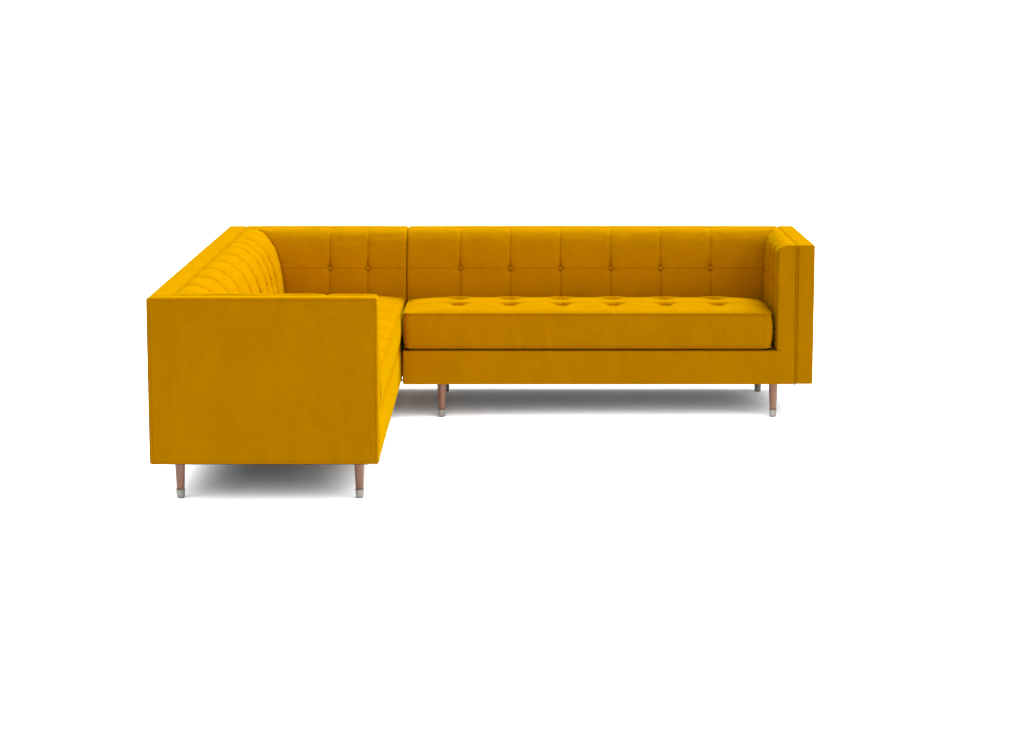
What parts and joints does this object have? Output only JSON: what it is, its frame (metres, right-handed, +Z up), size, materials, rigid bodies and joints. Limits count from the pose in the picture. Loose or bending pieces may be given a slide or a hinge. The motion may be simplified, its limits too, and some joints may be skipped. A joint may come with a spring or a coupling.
{
  "type": "corner sofa",
  "caption": "L-shaped corner sofa: joined corner and bench units with button-tufted backs and arms, loose bench cushions, and tapered wooden legs in metal ferrules.",
  "frame": {"origin": "centre of the footprint of both units, on the floor", "axes": "+Z up, +X towards the bench unit's arm on the right of someone facing the sofa, +Y towards the back line"},
  "size_m": [2.75, 2.74, 0.804],
  "materials": {
    "velvet": "mustard cotton velvet, brushed pile",
    "velvet_welt": "self-piped velvet cord",
    "velvet_button": "velvet-covered button",
    "foam": "open-cell foam and wadding",
    "leg_wood": "turned hardwood, stained, satin",
    "frame_timber": "sawn timber",
    "ferrule_metal": "satin nickel",
    "glide_plastic": "brown nylon",
    "spring_steel": "drawn wire",
    "zinc_hardware": "zinc plated",
    "connector_steel": "black powder coat",
    "webbing": "woven elastic webbing",
    "dust_cloth": "spun-bonded cloth",
    "deck_cloth": "decking cloth over felt",
    "zip_tape": "zip tape and coil",
    "zip_metal": "antique brass plated"
  },
  "bodies": {
    "corner_unit": {"corner_base_frame": "frame_timber", "corner_upper_frame": "frame_timber", "corner_springs": "spring_steel", "corner_spring_clips": "spring_steel", "corner_webbing": "webbing", "corner_deck": "deck_cloth", "corner_dust_cover": "dust_cloth", "corner_base_cover": "velvet", "corner_long_back_cover": "velvet", "corner_return_back_cover": "velvet", "corner_arm_cover": "velvet", "corner_long_back_foam": "foam", "corner_long_back_pad": "velvet", "corner_return_back_foam": "foam", "corner_return_back_pad": "velvet", "corner_arm_foam": "foam", "corner_arm_pad": "velvet", "corner_buttons": "velvet_button", "corner_welts": "velvet_welt", "corner_legs": "leg_wood", "corner_ferrules": "ferrule_metal", "corner_glides": "glide_plastic", "corner_leg_bolts": "zinc_hardware", "corner_tee_nuts": "zinc_hardware", "connector_jaws": "connector_steel"},
    "bench_unit": {"bench_base_frame": "frame_timber", "bench_upper_frame": "frame_timber", "bench_springs": "spring_steel", "bench_spring_clips": "spring_steel", "bench_webbing": "webbing", "bench_deck": "deck_cloth", "bench_dust_cover": "dust_cloth", "bench_base_cover": "velvet", "bench_back_cover": "velvet", "bench_arm_cover": "velvet", "bench_back_foam": "foam", "bench_back_pad": "velvet", "bench_arm_foam": "foam", "bench_arm_pad": "velvet", "bench_buttons": "velvet_button", "bench_welts": "velvet_welt", "bench_legs": "leg_wood", "bench_ferrules": "ferrule_metal", "bench_glides": "glide_plastic", "bench_leg_bolts": "zinc_hardware", "bench_tee_nuts": "zinc_hardware", "connector_tongues": "connector_steel"},
    "corner_seat_cushion": {"corner_seat_cover": "velvet", "corner_seat_foam": "foam", "corner_seat_welts": "velvet_welt", "corner_seat_buttons": "velvet_button", "corner_seat_zip": "zip_tape"},
    "bench_seat_cushion": {"bench_seat_cover": "velvet", "bench_seat_foam": "foam", "bench_seat_welts": "velvet_welt", "bench_seat_buttons": "velvet_button", "bench_seat_zip": "zip_tape"},
    "corner_zip_slider": {"corner_zip_slider": "zip_metal"},
    "bench_zip_slider": {"bench_zip_slider": "zip_metal"}
  },
  "joints": [
    {"name": "bench_unit_slide", "type": "slide", "parent": "corner_unit", "child": "bench_unit", "axis": [1, 0, 0], "range_m": [0, 0.4]},
    {"name": "corner_cushion_lift", "type": "slide", "parent": "corner_unit", "child": "corner_seat_cushion", "axis": [0, 0, 1], "range_m": [0, 0.5]},
    {"name": "bench_cushion_lift", "type": "slide", "parent": "bench_unit", "child": "bench_seat_cushion", "axis": [0, 0, 1], "range_m": [0, 0.5]},
    {"name": "corner_zip_slide", "type": "slide", "parent": "corner_seat_cushion", "child": "corner_zip_slider", "axis": [0, 1, 0], "range_m": [0, 1.79]},
    {"name": "bench_zip_slide", "type": "slide", "parent": "bench_seat_cushion", "child": "bench_zip_slider", "axis": [1, 0, 0], "range_m": [0, 1.33]}
  ]
}
